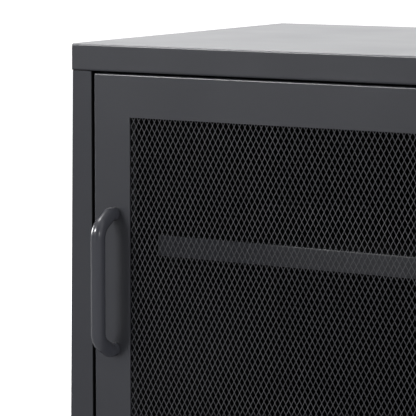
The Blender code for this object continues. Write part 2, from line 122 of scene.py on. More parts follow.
class Graph:
    """Short ways to place nodes in a tree and wire them."""

    def __init__(self, tree):
        self.tree = tree

    def node(self, kind, **settings):
        made = self.tree.nodes.new(kind)
        for key, value in settings.items():
            setattr(made, key, value)
        return made

    def wire(self, source, target):
        self.tree.links.new(source, target)

    def feed(self, target, source):
        if isinstance(source, bpy.types.NodeSocket):
            self.wire(source, target)
        else:
            target.default_value = source

    def math(self, operation, a, b=0.0, clamp=False):
        made = self.node("ShaderNodeMath", operation=operation, use_clamp=clamp)
        self.feed(made.inputs[0], a)
        self.feed(made.inputs[1], b)
        return made.outputs[0]

    def mix(self, factor, a, b):
        made = self.node("ShaderNodeMix", data_type="RGBA")
        self.feed(made.inputs["Factor"], factor)
        self.feed(made.inputs[6], a)
        self.feed(made.inputs[7], b)
        return made.outputs[2]

    def noise(self, vector, scale, detail=2.0, roughness=0.5):
        made = self.node("ShaderNodeTexNoise")
        self.wire(vector, made.inputs["Vector"])
        self.feed(made.inputs["Scale"], scale)
        made.inputs["Detail"].default_value = detail
        made.inputs["Roughness"].default_value = roughness
        return made.outputs["Fac"]

    def ranged(self, value, low, high, to_low=0.0, to_high=1.0):
        made = self.node("ShaderNodeMapRange")
        self.wire(value, made.inputs["Value"])
        limits = {"From Min": low, "From Max": high, "To Min": to_low, "To Max": to_high}
        for label, number in limits.items():
            self.feed(made.inputs[label], number)
        return made.outputs["Result"]


def powder_group():
    """Powder coat: faint orange peel, a finer sandy tooth, patches of gloss and settled dust."""
    tree, given, out = group(
        "powder_coat",
        [
            ("Colour", "colour", (0.05, 0.05, 0.06, 1.0)),
            ("Gloss", "value", 0.4),
            ("Peel", "value", 0.1),
            ("Tooth", "value", 0.1),
            ("Dust", "value", 0.0),
        ],
        [("Colour", "colour"), ("Roughness", "value"), ("Normal", "vector")],
    )
    g = Graph(tree)
    place = g.node("ShaderNodeTexCoord").outputs["Object"]
    facing = g.node("ShaderNodeSeparateXYZ")
    g.wire(g.node("ShaderNodeNewGeometry").outputs["Normal"], facing.inputs[0])
    peel = g.noise(place, 620.0, 1.5)
    tooth = g.noise(place, 2600.0, 2.0, 0.6)
    cloud = g.noise(place, 9.0, 3.0)
    specks = g.noise(place, 1500.0, 1.0)
    blend = g.math("ADD", g.math("MULTIPLY", cloud, 0.6), g.math("MULTIPLY", specks, 0.4))
    tint = g.ranged(blend, 0.3, 0.7, 0.93, 1.07)
    shade = g.node("ShaderNodeVectorMath", operation="SCALE")
    g.wire(given.outputs["Colour"], shade.inputs[0])
    g.wire(tint, shade.inputs["Scale"])
    up = g.ranged(facing.outputs["Z"], 0.6, 1.0)
    patches = g.ranged(g.noise(place, 34.0, 4.0, 0.65), 0.42, 0.72)
    dust = g.math("MULTIPLY", g.math("MULTIPLY", up, patches), given.outputs["Dust"], clamp=True)
    g.wire(g.mix(dust, shade.outputs[0], (0.32, 0.31, 0.30, 1.0)), out.inputs["Colour"])
    uneven = g.ranged(cloud, 0.3, 0.7, -0.025, 0.025)
    duller = g.math("ADD", uneven, g.math("MULTIPLY", dust, 0.25))
    rough = g.math("ADD", given.outputs["Gloss"], duller, clamp=True)
    g.wire(rough, out.inputs["Roughness"])
    peel_height = g.math("MULTIPLY", peel, given.outputs["Peel"])
    tooth_height = g.math("MULTIPLY", tooth, given.outputs["Tooth"])
    height = g.math("ADD", peel_height, tooth_height)
    bump = g.node("ShaderNodeBump")
    bump.inputs["Strength"].default_value = 1.0
    bump.inputs["Distance"].default_value = 0.0001
    g.wire(height, bump.inputs["Height"])
    g.wire(bump.outputs["Normal"], out.inputs["Normal"])
    return tree


def plated_group():
    """Zinc plate: fine drawn lines one way and a cloudy spangle."""
    tree, given, out = group(
        "plated_steel",
        [
            ("Colour", "colour", (0.6, 0.6, 0.58, 1.0)),
            ("Gloss", "value", 0.3),
            ("Lines", "value", 0.2),
        ],
        [("Colour", "colour"), ("Roughness", "value"), ("Normal", "vector")],
    )
    g = Graph(tree)
    place = g.node("ShaderNodeTexCoord").outputs["Object"]
    stretch = g.node("ShaderNodeMapping")
    stretch.inputs["Scale"].default_value = (9.0, 9.0, 1.0)
    g.wire(place, stretch.inputs["Vector"])
    lines = g.noise(stretch.outputs["Vector"], 300.0, 3.0)
    spangle = g.node("ShaderNodeTexVoronoi")
    spangle.inputs["Scale"].default_value = 420.0
    g.wire(place, spangle.inputs["Vector"])
    cells = g.node("ShaderNodeSeparateXYZ")
    g.wire(spangle.outputs["Color"], cells.inputs[0])
    shade = g.ranged(cells.outputs["X"], 0.0, 1.0, 0.86, 1.06)
    tinted = g.node("ShaderNodeVectorMath", operation="SCALE")
    g.wire(given.outputs["Colour"], tinted.inputs[0])
    g.wire(shade, tinted.inputs["Scale"])
    g.wire(tinted.outputs[0], out.inputs["Colour"])
    uneven = g.ranged(lines, 0.3, 0.7, -0.06, 0.08)
    rough = g.math("ADD", given.outputs["Gloss"], uneven, clamp=True)
    g.wire(rough, out.inputs["Roughness"])
    bump = g.node("ShaderNodeBump")
    bump.inputs["Distance"].default_value = 0.00004
    g.wire(g.math("MULTIPLY", lines, given.outputs["Lines"]), bump.inputs["Height"])
    g.wire(bump.outputs["Normal"], out.inputs["Normal"])
    return tree


def moulded_group():
    """Moulded plastic: a fine spark-eroded texture and slight flow marks."""
    tree, given, out = group(
        "moulded_plastic",
        [
            ("Colour", "colour", (0.02, 0.02, 0.02, 1.0)),
            ("Gloss", "value", 0.5),
            ("Texture", "value", 0.3),
        ],
        [("Colour", "colour"), ("Roughness", "value"), ("Normal", "vector")],
    )
    g = Graph(tree)
    place = g.node("ShaderNodeTexCoord").outputs["Object"]
    grain = g.noise(place, 3200.0, 2.0, 0.6)
    flow = g.noise(place, 60.0, 3.0)
    tinted = g.node("ShaderNodeVectorMath", operation="SCALE")
    g.wire(given.outputs["Colour"], tinted.inputs[0])
    g.wire(g.ranged(flow, 0.3, 0.7, 0.9, 1.12), tinted.inputs["Scale"])
    g.wire(tinted.outputs[0], out.inputs["Colour"])
    uneven = g.ranged(grain, 0.3, 0.7, -0.05, 0.05)
    rough = g.math("ADD", given.outputs["Gloss"], uneven, clamp=True)
    g.wire(rough, out.inputs["Roughness"])
    bump = g.node("ShaderNodeBump")
    bump.inputs["Distance"].default_value = 0.00005
    g.wire(g.math("MULTIPLY", grain, given.outputs["Texture"]), bump.inputs["Height"])
    g.wire(bump.outputs["Normal"], out.inputs["Normal"])
    return tree


def finish(name, tree, values, metallic=0.0, shine=0.5):
    """A material whose shader takes colour, roughness and normal from a surface group."""
    made = bpy.data.materials.new(name)
    made.use_nodes = True
    g = Graph(made.node_tree)
    shader = made.node_tree.nodes["Principled BSDF"]
    shader.inputs["Metallic"].default_value = metallic
    shader.inputs["Specular IOR Level"].default_value = shine
    surface = g.node("ShaderNodeGroup", node_tree=tree)
    for label, value in values.items():
        surface.inputs[label].default_value = value
    g.wire(surface.outputs["Colour"], shader.inputs["Base Color"])
    g.wire(surface.outputs["Roughness"], shader.inputs["Roughness"])
    g.wire(surface.outputs["Normal"], shader.inputs["Normal"])
    return made


POWDER_TREE = powder_group()
PLATED_TREE = plated_group()
MOULDED_TREE = moulded_group()


def coat(ending, colour, gloss, peel, tooth, dust=0.0, shine=0.5):
    """A powder coat: what its name ends with, colour, roughness and how strong each effect is."""
    values = {"Colour": colour, "Gloss": gloss, "Peel": peel, "Tooth": tooth, "Dust": dust}
    return finish("charcoal_powder_coat" + ending, POWDER_TREE, values, shine=shine)


def plate(name, colour, gloss, metallic):
    values = {"Colour": colour, "Gloss": gloss, "Lines": 0.25}
    return finish(name, PLATED_TREE, values, metallic=metallic)


def plastic(name, colour, gloss, texture):
    values = {"Colour": colour, "Gloss": gloss, "Texture": texture}
    return finish(name, MOULDED_TREE, values)


CHARCOAL = (0.0597, 0.0617, 0.0735, 1.0)
powder = coat("", CHARCOAL, 0.32, 0.12, 0.10)
handle_powder = coat("_handle", CHARCOAL, 0.24, 0.06, 0.05)
lid_powder = coat("_lid", CHARCOAL, 0.35, 0.10, 0.06, dust=0.02)
mesh_powder = coat("_mesh", (0.106, 0.108, 0.120, 1.0), 0.40, 0.04, 0.05)
# Near-black painted shade for the faces inside the stand: this colour stands in for the shade that
# falls there.
PAINTED_SHADE_BLACK = (0.0050, 0.0052, 0.0061, 1.0)
painted_shade_powder = coat("_painted_shade", PAINTED_SHADE_BLACK, 0.60, 0.14, 0.12, dust=0.01, shine=0.2)
shelf_powder = coat("_shelf", (0.0600, 0.0620, 0.0710, 1.0), 0.42, 0.12, 0.10)
zinc = plate("bright_zinc_plate", (0.62, 0.62, 0.60, 1.0), 0.30, 1.0)
black_zinc = plate("black_zinc_plate", (0.022, 0.022, 0.024, 1.0), 0.45, 0.6)
black_plastic = plastic("black_moulded_plastic", (0.014, 0.014, 0.015, 1.0), 0.55, 0.5)
nylon = plastic("natural_nylon", (0.62, 0.61, 0.57, 1.0), 0.45, 0.2)


# ---------------------------------------------------------------- making pieces


def piece(name, mesh, body, material, stands_for=(), edges=CUT_EDGE, sheet=None, inside=None):
    """Turns a bmesh into a finished piece that rides on its body.

    It gets a sheet's thickness, softened cut edges and even shading. When inside is given, the
    faces it is true for, and a sheet's inner skin, get a near-black painted shade for the stand's
    inside.
    """
    bmesh.ops.recalc_face_normals(mesh, faces=mesh.faces)
    face_outward(mesh)
    # Faces the mask picks take slot 1, the near-black painted shade.
    for face in mesh.faces:
        face.material_index = 1 if inside and inside(face) else 0
    data = bpy.data.meshes.new(name)
    mesh.to_mesh(data)
    mesh.free()
    made = bpy.data.objects.new(name, data)
    bpy.context.scene.collection.objects.link(made)
    data.materials.append(material)
    if inside:
        data.materials.append(painted_shade_powder)
    data.shade_smooth()
    if sheet:
        solid = made.modifiers.new("sheet", "SOLIDIFY")
        solid.thickness = sheet
        solid.offset = -1.0
        solid.use_even_offset = True
        # The sheet's inner skin takes the painted shade as well.
        solid.material_offset = 1 if inside else 0
    if edges:
        soft = made.modifiers.new("edges", "BEVEL")
        soft.width = edges
        soft.segments = 2
        soft.limit_method = "ANGLE"
        soft.angle_limit = math.radians(50)
        soft.harden_normals = False
    even = made.modifiers.new("shading", "WEIGHTED_NORMAL")
    even.weight = 80
    even.keep_sharp = True
    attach(made, body)
    if stands_for:
        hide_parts(*stands_for)
    return made


def face_outward(mesh):
    """Turns an open shell whose faces look inward."""
    mesh.normal_update()
    middle = sum((v.co for v in mesh.verts), Vector()) / len(mesh.verts)
    if sum((f.calc_center_median() - middle).dot(f.normal) * f.calc_area() for f in mesh.faces) < 0:
        bmesh.ops.reverse_faces(mesh, faces=mesh.faces)


def box_mesh(low, high):
    mesh = bmesh.new()
    bmesh.ops.create_cube(mesh, size=1.0)
    bmesh.ops.scale(mesh, verts=mesh.verts, vec=Vector(high) - Vector(low))
    bmesh.ops.translate(mesh, verts=mesh.verts, vec=(Vector(high) + Vector(low)) / 2)
    return mesh


def fold(mesh, edges, radius=FOLD, steps=FOLD_STEPS):
    """Rounds edges off. The faces look outward first, as the rounded corners depend on it."""
    bmesh.ops.recalc_face_normals(mesh, faces=mesh.faces)
    face_outward(mesh)
    bmesh.ops.bevel(
        mesh, geom=list(edges), offset=radius, segments=steps, profile=0.5, affect="EDGES"
    )


def shell(loops, cap_first=True):
    """Joins four-cornered loops into an open shell, the first one filled or left as a hole."""
    mesh = bmesh.new()
    rings = [[mesh.verts.new(p) for p in loop] for loop in loops]
    if cap_first:
        mesh.faces.new(rings[0])
    for near, far in zip(rings, rings[1:]):
        for k in range(4):
            n = (k + 1) % 4
            mesh.faces.new((near[k], near[n], far[n], far[k]))
    mesh.edges.ensure_lookup_table()
    return mesh


def rect(axis, at, low, high):
    """Four corners of a rectangle across an axis. low and high start with the other two axes."""
    corners = ((low[0], low[1]), (high[0], low[1]), (high[0], high[1]), (low[0], high[1]))
    if axis == "Z":
        return [(a, b, at) for a, b in corners]
    return [(a, at, b) for a, b in corners]


def folded_edges(mesh):
    """The edges between two faces that meet at an angle."""
    mesh.normal_update()
    return [e for e in mesh.edges if len(e.link_faces) == 2 and e.calc_face_angle() > 0.3]


def ribbon(points, thickness, radius):
    """Closed outline of a bent strip: points run along its outer face, on the left of their way."""
    path = [Vector(points[0])]
    for before, corner, after in zip(points, points[1:], points[2:]):
        before, corner, after = Vector(before), Vector(corner), Vector(after)
        a = (before - corner).normalized()
        b = (after - corner).normalized()
        turn = math.pi - a.angle(b)
        left = (corner - before).x * (after - corner).y - (corner - before).y * (after - corner).x > 0
        size = radius if not left else max(radius - thickness, 0.0004)
        reach = size * math.tan(turn / 2)
        centre = corner + (a + b).normalized() * (size / math.cos(turn / 2))
        start = corner + a * reach - centre
        for i in range(FOLD_STEPS + 1):
            angle = turn * i / FOLD_STEPS * (1 if left else -1)
            path.append(centre + Matrix.Rotation(angle, 2) @ start)
    path.append(Vector(points[-1]))
    inner = []
    for i, point in enumerate(path):
        before = path[max(i - 1, 0)]
        after = path[min(i + 1, len(path) - 1)]
        one = (point - before).normalized() if i else (after - point).normalized()
        two = (after - point).normalized() if i < len(path) - 1 else one
        along = (one + two).normalized()
        right = Vector((along.y, -along.x))
        inner.append(point + right * (thickness / max(one.dot(along), 0.5)))
    return path + inner[::-1]


def prism(outline, low, high):
    mesh = bmesh.new()
    bottom = [mesh.verts.new((p[0], p[1], low)) for p in outline]
    top = [mesh.verts.new((p[0], p[1], high)) for p in outline]
    mesh.faces.new(bottom)
    mesh.faces.new(top)
    for k in range(len(outline)):
        n = (k + 1) % len(outline)
        mesh.faces.new((bottom[k], bottom[n], top[n], top[k]))
    return mesh


def turned(profile, steps, centre, towards="Z"):
    """Turns (radius, height) points about an axis. A profile clear of the axis makes a ring."""
    mesh = bmesh.new()
    ring_shaped = profile[0][0] > 0
    rings = []
    for radius, height in profile:
        count = steps if radius > 0 else 1
        angles = [2 * math.pi * (i + 0.5) / steps for i in range(count)]
        points = [(radius * math.cos(a), radius * math.sin(a), height) for a in angles]
        rings.append([mesh.verts.new(point) for point in points])
    total = len(rings)
    for i in range(total if ring_shaped else total - 1):
        near, far = rings[i], rings[(i + 1) % total]
        for k in range(steps):
            n = (k + 1) % steps
            inner, outer = len(near), len(far)
            corners = near[k % inner], near[n % inner], far[n % outer], far[k % outer]
            distinct = list(dict.fromkeys(corners))
            if len(distinct) > 2:
                mesh.faces.new(distinct)
    if towards == "Y":
        bmesh.ops.rotate(mesh, verts=mesh.verts, matrix=Matrix.Rotation(math.radians(90), 3, "X"))
    if towards == "X":
        bmesh.ops.rotate(mesh, verts=mesh.verts, matrix=Matrix.Rotation(math.radians(90), 3, "Y"))
    bmesh.ops.translate(mesh, verts=mesh.verts, vec=centre)
    return mesh


def join(meshes):
    """One bmesh that holds several."""
    whole = bmesh.new()
    for mesh in meshes:
        part = bpy.data.meshes.new("part")
        mesh.to_mesh(part)
        mesh.free()
        whole.from_mesh(part)
        bpy.data.meshes.remove(part)
    return whole


def carve(mesh, cutters):
    """The mesh with closed cutters taken out of it."""
    objects = []
    for number, shape in enumerate([mesh] + list(cutters)):
        bmesh.ops.recalc_face_normals(shape, faces=shape.faces)
        data = bpy.data.meshes.new(f"carve_{number}")
        shape.to_mesh(data)
        shape.free()
        objects.append(bpy.data.objects.new(f"carve_{number}", data))
        bpy.context.scene.collection.objects.link(objects[-1])
    target = objects[0]
    for cutter in objects[1:]:
        tool = target.modifiers.new(cutter.name, "BOOLEAN")
        tool.operation = "DIFFERENCE"
        tool.solver = "EXACT"
        tool.object = cutter
    shape = target.evaluated_get(bpy.context.evaluated_depsgraph_get())
    result = bmesh.new()
    result.from_mesh(shape.to_mesh())
    shape.to_mesh_clear()
    for used in objects:
        data = used.data
        bpy.data.objects.remove(used)
        bpy.data.meshes.remove(data)
    return result


def mirrored(side, a, b):
    """The two X values on one side of the stand, lowest first."""
    return sorted((side * a, side * b))


def corner_edges(mesh, axis, longer):
    """The edges that run along an axis, 0 to 2 for X to Z, by more than a length."""
    ends = [(e, e.verts[0].co[axis] - e.verts[1].co[axis]) for e in mesh.edges]
    return [e for e, length in ends if abs(length) > longer]


def keep(node, material):
    """Gives a CAD node that stays in view its finish."""
    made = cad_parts[node]
    made.data.materials.clear()
    made.data.materials.append(material)


# ---------------------------------------------------------------- cabinet


def is_top(face):
    return face.normal.z > 0.7


def is_front(face):
    return face.normal.y < -0.7


def none_of_it(face):
    """Leaves a sheet's outer faces as they are, while its inner skin gets the near-black painted
    shade.
    """
    return False


def make_lid():
    low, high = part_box("top_lid")
    lap = Vector((LID_LAP, 0, 0))
    low, high = low - lap, high + lap
    mesh = shell([rect("Z", high.z, low, high), rect("Z", low.z, low, high)])
    front = [v for v in mesh.verts if abs(v.co.z - low.z) < 1e-6 and abs(v.co.y - low.y) < 1e-6]
    front.sort(key=lambda v: v.co.x)
    back = low.y + LIP_DEPTH
    inner = [mesh.verts.new((v.co.x + s * LIP_TAPER, back, low.z)) for v, s in zip(front, (1, -1))]
    mesh.faces.new((front[0], front[1], inner[1], inner[0]))
    fold(mesh, folded_edges(mesh))
    # The lid's inner skin gets the painted shade.
    return piece(
        "lid", mesh, "cabinet", lid_powder, ["top_lid"], sheet=SHEET, inside=none_of_it
    )


def lean_at(z):
    """How far a side panel stands out at a height."""
    low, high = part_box("left_side_panel")
    return SIDE_OUT + SPLAY * (high.z - z) / (high.z - low.z)


def make_floor():
    """The tray, which reaches out to the leaning side panels, and the strips behind it."""
    low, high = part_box("floor_tray")
    reach = Vector((lean_at(high.z) - 0.0004, 0, 0))
    low, high = low - reach, high + reach
    stile = -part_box("left_side_panel")[1].x - STILE_WIDER
    beyond = 0.8
    corners = []
    for _, side in SIDES:
        x0, x1 = mirrored(side, stile, beyond)
        notch_low = (x0, low.y - BEYOND, low.z - BEYOND)
        corners.append(box_mesh(notch_low, (x1, low.y + STILE_RETURN + 0.0003, high.z + BEYOND)))
    mesh = carve(box_mesh(low, high), corners)
    under = [f for f in mesh.faces if all(abs(v.co.z - low.z) < 1e-5 for v in f.verts)]
    bmesh.ops.delete(mesh, geom=under, context="FACES")
    bmesh.ops.dissolve_limit(mesh, angle_limit=0.01, verts=mesh.verts, edges=mesh.edges)
    mesh.normal_update()
    fold(mesh, folded_edges(mesh))
    tray = "floor_tray"
    # The tray's top faces, inside the stand, and its inner skin get the painted shade.
    piece(f"{tray}_folded", mesh, "cabinet", powder, [tray], sheet=SHEET, inside=is_top)
    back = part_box("back_panel_centre")[0].y
    partition_low, partition_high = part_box("partition_left")
    left_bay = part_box("back_panel_left")[0].x, partition_low.x
    middle_bay = partition_high.x, -partition_high.x
    right_bay = -partition_low.x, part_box("back_panel_right")[1].x
    strips = []
    for start, end in (left_bay, middle_bay, right_bay):
        foot = (start + 0.0005, back - 0.0020, high.z + 0.0001)
        strips.append(box_mesh(foot, (end - 0.0005, back - 0.0004, high.z + 0.011)))
    # The upstands at the back, inside the stand, are wholly painted shade.
    piece("floor_upstands", join(strips), "cabinet", painted_shade_powder)


def make_side(name, side):
    """A side panel with its front stile and rear return, which leans out towards its foot."""
    low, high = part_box(f"{name}_side_panel")
    lid_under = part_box("top_lid")[0].z - LID_CLEAR
    outer = side * (low.x if side < 0 else high.x)
    inner = side * (high.x if side < 0 else low.x) - STILE_WIDER
    rear = [(outer - REAR_RETURN, high.y), (outer, high.y)]
    outline = rear + [(outer, low.y), (inner, low.y), (inner, low.y + STILE_RETURN)]
    shape = [(side * p[0], p[1]) for p in ribbon(outline, THIN, CRISP)]
    mesh = prism(shape, low.z, high.z)
    for v in mesh.verts:
        if abs(v.co.x) > (inner + outer) / 2:
            v.co.x += side * lean_at(v.co.z)
    x0, x1 = mirrored(side, inner - BEYOND, outer - 0.0012)
    stile = box_mesh((x0, low.y - BEYOND, lid_under), (x1, low.y + 0.05, high.z + BEYOND))
    x0, x1 = mirrored(side, inner - BEYOND, outer + BEYOND)
    front = box_mesh((x0, low.y - BEYOND, lid_under), (x1, low.y + 0.0012, high.z + BEYOND))
    mesh = carve(mesh, [stile, front])

    # Faces that look into the stand get the painted shade.
    def turned_in(face):
        inward = face.normal.x * side < -0.5
        return inward or face.normal.y * face.calc_center_median().y < -0.05

    node = f"{name}_side_panel"
    piece(f"{name}_side_folded", mesh, "cabinet", powder, [node], inside=turned_in)


def make_partition(name):
    """A partition, notched at the top for the lid's lip."""
    node = f"partition_{name}"
    low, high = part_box(node)
    lid_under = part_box("top_lid")[0].z - LID_CLEAR
    mesh = box_mesh(low, high)
    fold(mesh, corner_edges(mesh, 2, 0.1), CRISP)
    notch_low = (low.x - BEYOND, low.y - BEYOND, lid_under)
    notch = box_mesh(notch_low, (high.x + BEYOND, low.y + LIP_DEPTH + 0.001, high.z + BEYOND))
    piece(f"{node}_folded", carve(mesh, [notch]), "cabinet", powder, [node])


def make_back(name):
    """A back panel with a cable hole and its rolled rim. Those behind the doors get painted shade on
    their inner faces.
    """
    node = f"back_panel_{name}"
    low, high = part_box(node)
    centre = ((low.x + high.x) / 2, high.y, CABLE_HEIGHT)
    drill = [(0, -BEYOND), (CABLE_HOLE, -BEYOND), (CABLE_HOLE, BEYOND), (0, BEYOND)]
    mesh = carve(box_mesh(low, high), [turned(drill, 64, centre, "Y")])
    # The inner faces of the back panels behind the doors get the painted shade.
    dark = None if name == "centre" else is_front
    piece(f"back_{name}", mesh, "cabinet", powder, [node], inside=dark)
    rim, around_roll = [], 12
    for i in range(around_roll):
        a = 2 * math.pi * i / around_roll
        rim.append((RIM_CENTRE + RIM_ROLL * math.cos(a), -0.0006 + RIM_ROLL * math.sin(a)))
    mesh = turned(rim, 64, centre, "Y")
    piece(f"cable_rim_{name}", mesh, "cabinet", powder, edges=None)


def make_shelf(name):
    """A shelf, folded down on all sides, on its four clips."""
    node = f"shelf_{name}"
    low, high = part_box(node)
    clear = Vector((SHELF_CLEAR, 0, 0))
    low, high = low + clear, high - clear
    mesh = shell([rect("Z", high.z, low, high), rect("Z", low.z, low, high)])
    fold(mesh, folded_edges(mesh))
    # The shelf's top faces and inner skin get the painted shade.
    shelf = piece(
        f"{node}_folded", mesh, "cabinet", shelf_powder, [node], sheet=SHEET, inside=is_top
    )
    for end, side in SIDES:
        for place in ("front", "rear"):
            make_clip(f"clip_{name}_{end}_{place}", -side)
    return shelf


def make_clip(node, inward):
    """A bent tab under the shelf's edge. Its upright leg is screwed to the wall, leaning or not."""
    low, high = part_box(node)
    wall = low.x if inward > 0 else high.x
    lean = lean_at(high.z) if abs(wall) > 0.5 else 0.0
    wall -= inward * lean
    reach = high.x - low.x + lean
    outline = ribbon([(0, -CLIP_DROP), (0, 0), (reach, 0)], CLIP_THICK, CLIP_FOLD)
    mesh = prism(outline, 0, high.y - low.y)
    turn = Matrix(((inward, 0, 0), (0, 0, 1), (0, 1, 0)))
    for v in mesh.verts:
        v.co = turn @ v.co + Vector((wall, low.y, high.z))
    middle = (low.y + high.y) / 2
    dome = [(0, 0.0036), (0.0018, 0.0035), (0.0029, 0.0029), (0.0034, CLIP_THICK), (0, CLIP_THICK)]
    head = turned(dome, 24, (0, 0, 0), "X")
    screw_height = high.z - 0.0105
    for v in head.verts:
        v.co = Vector((inward * v.co.x + wall, v.co.y + middle, v.co.z + screw_height))
    piece(f"{node}_bent", join([mesh, head]), "cabinet", black_zinc, [node])


def make_leg(name):
    """A tapered leg that flares into its plate, and the glide under it with its stem."""
    node = f"leg_{name}"
    low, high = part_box(node)
    x, y = (low.x + high.x) / 2, (low.y + high.y) / 2
    top = high.z - LEG_PLATE
    foot = low.z
    profile = [(0, foot), (0.0102, foot), (0.0111, foot + 0.0004), (0.0115, foot + 0.0013)]
    profile += [(0.0170, top - 0.0045), (0.0176, top - 0.0030), (0.0190, top - 0.0012)]
    profile += [(0.0204, top), (0, top)]
    leg = turned(profile, 64, (x, y, 0))
    base = box_mesh((low.x, low.y, top), (high.x, high.y, high.z))
    fold(base, corner_edges(base, 2, 0.001), LEG_PLATE_CORNER, 5)
    piece(f"{node}_turned", join([leg, base]), "cabinet", powder, [node])
    pad = [(0, 0), (0.0098, 0), (0.0109, 0.0004), (0.0115, 0.0014), (0.0115, 0.0052)]
    pad += [(0.0111, 0.0063), (0.0100, 0.0070), (0.0038, 0.0070), (0.0038, 0.0190), (0, 0.0190)]
    mesh, node = turned(pad, 48, (x, y, 0)), f"glide_{name}"
    piece(f"{node}_turned", mesh, "cabinet", black_plastic, [node])


def screw_head():
    """A pan head with a cross recess, which stands at the origin and points along +Y."""
    shape = ((0, 0.98), (0.45, 0.95), (0.78, 0.72), (1, 0.25), (1, 0), (0, 0))
    head = turned([(SCREW_RADIUS * a, SCREW_TALL * b) for a, b in shape], 20, (0, 0, 0))
    arms = []
    for a, b in ((0.55, 0.13), (0.13, 0.55)):
        corner = Vector((SCREW_RADIUS * a, SCREW_RADIUS * b, SCREW_TALL * 1.4))
        arms.append(box_mesh((-corner.x, -corner.y, SCREW_TALL * 0.45), corner))
    head = carve(head, arms)
    turn = Vector((0, 0, 1)).rotation_difference(Vector((0, 1, 0))).to_matrix()
    bmesh.ops.rotate(head, verts=head.verts, matrix=turn)
    return head


def make_back_screws():
    """Pan heads along the edges of the three back panels."""
    heads = []
    template = screw_head()
    from_seam, from_side = 0.009, 0.022
    for name in BAYS:
        low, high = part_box(f"back_panel_{name}")
        left = low.x + (from_side if name == "left" else from_seam)
        right = high.x - (from_side if name == "right" else from_seam)
        bottom, top = low.z + 0.009, high.z - 0.030
        middle = ((low.x + high.x) / 2, (low.z + high.z) / 2)
        places = [(left, z) for z in (bottom, middle[1], top)]
        places += [(middle[0], bottom), (middle[0], top)]
        places += [(right, z) for z in (bottom, middle[1], top)]
        for x, z in places:
            head = template.copy()
            bmesh.ops.translate(head, verts=head.verts, vec=(x, high.y, z))
            heads.append(head)
    template.free()
    piece("back_panel_screws", join(heads), "cabinet", zinc, edges=None)


# ---------------------------------------------------------------- doors


def make_frame(name, body):
    """The pressed door frame: a face with its window, four returned sides and a rear flange."""
    node = f"{name}_door_frame"
    low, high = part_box(node)
    infill_low, infill_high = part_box(f"{name}_door_mesh")
    lap = Vector((0.008, 0.0, 0.008))
    window_low, window_high = infill_low + lap, infill_high - lap
    inset = Vector((0.013, 0.0, 0.013))
    flange_low, flange_high = low + inset, high - inset

    def loop(y, a, b):
        return rect("Y", y, (a.x, a.z), (b.x, b.z))

    face = [loop(low.y, window_low, window_high), loop(low.y, low, high)]
    rear = [loop(high.y, low, high), loop(high.y, flange_low, flange_high)]
    mesh = shell(face + rear, cap_first=False)
    fold(mesh, folded_edges(mesh), FRAME_FOLD)
    return piece(f"{name}_frame_pressed", mesh, body, powder, [node], sheet=SHEET)


def make_expanded_metal(name, body):
    """Diamonds of expanded metal: the strands lean a little and join in short upright bonds."""
    node = f"{name}_door_mesh"
    low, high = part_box(node)
    half_w, half_h = CELL_WIDTH / 2, CELL_HEIGHT / 2
    centre = Vector(((low.x + high.x) / 2, low.y + TWIST, (low.z + high.z) / 2))
    across = int((high.x - low.x) / 2 / half_w) + 1
    upward = int((high.z - low.z) / 2 / half_h) - 1
    mesh = bmesh.new()
    corners = {}

    def corner(i, j):
        if (i, j) not in corners:
            corners[i, j] = mesh.verts.new(centre + Vector((i * half_w, 0, j * half_h)))
        return corners[i, j]

    narrowing = 1 - STRAND * math.hypot(half_w, half_h) / (half_w * half_h)
    side_x, end_z = half_w * narrowing - STRAND * 0.2, half_h * narrowing
    hole = [(0, 0, end_z), (side_x, TWIST, BOND), (side_x, TWIST, -BOND)]
    hole += [(-x, -y, -z) for x, y, z in hole]
    for i in range(-across, across + 1):
        for j in range(-upward, upward + 1):
            if (i + j) % 2 == 0:
                continue
            middle = centre + Vector((i * half_w, 0, j * half_h))
            t, ru, rl, b, ll, lu = (mesh.verts.new(middle + Vector(p)) for p in hole)
            top, right = corner(i, j + 1), corner(i + 1, j)
            bottom, left = corner(i, j - 1), corner(i - 1, j)
            strands = [(top, t, ru, right), (right, ru, rl), (right, rl, b, bottom)]
            strands += [(bottom, b, ll, left), (left, ll, lu), (left, lu, t, top)]
            for strand in strands:
                mesh.faces.new(strand)
    for v in mesh.verts:
        v.co.x -= SKEW * (v.co.z - centre.z)
    for at, way in ((low.x, -1), (high.x, 1)):
        everything = mesh.verts[:] + mesh.edges[:] + mesh.faces[:]
        bmesh.ops.bisect_plane(
            mesh, geom=everything, plane_co=(at, 0, 0), plane_no=(way, 0, 0), clear_outer=True
        )
    made = piece(
        f"{name}_expanded_metal",
        mesh,
        body,
        mesh_powder,
        [node],
        edges=None,
        sheet=MESH_THICK,
    )
    made.modifiers["sheet"].use_even_offset = False
    made.modifiers["sheet"].offset = 0.0
    made.modifiers.remove(made.modifiers["shading"])
    made.data.shade_flat()


def rounded(points, radii):
    """A line through points, with an arc of each radius at each inner one."""
    path = [points[0]]
    for before, corner, after, radius in zip(points, points[1:], points[2:], radii):
        a = (before - corner).normalized()
        b = (after - corner).normalized()
        turn = math.pi - a.angle(b)
        start = corner + a * radius * math.tan(turn / 2)
        centre = corner + (a + b).normalized() * radius / math.cos(turn / 2)
        way = 1 if a.x * b.y - a.y * b.x < 0 else -1
        for i in range(BEND_STEPS + 1):
            path.append(centre + Matrix.Rotation(way * turn * i / BEND_STEPS, 2) @ (start - centre))
    return path + [points[-1]]


def bar_line():
    """Centre line of the handle, from its lower foot up, as (distance out, height)."""
    foot = [Vector((0.0, -HANDLE_HALF)), Vector((KNEE_OUT, -HANDLE_HALF))]
    grip = [Vector((HANDLE_OUT, -BEND_HALF)), Vector((HANDLE_OUT, 0.0))]
    lower = rounded(foot + grip, (KNEE_RADIUS, BEND_RADIUS))[:-1]
    return lower + [Vector((p.x, -p.y)) for p in reversed(lower)]


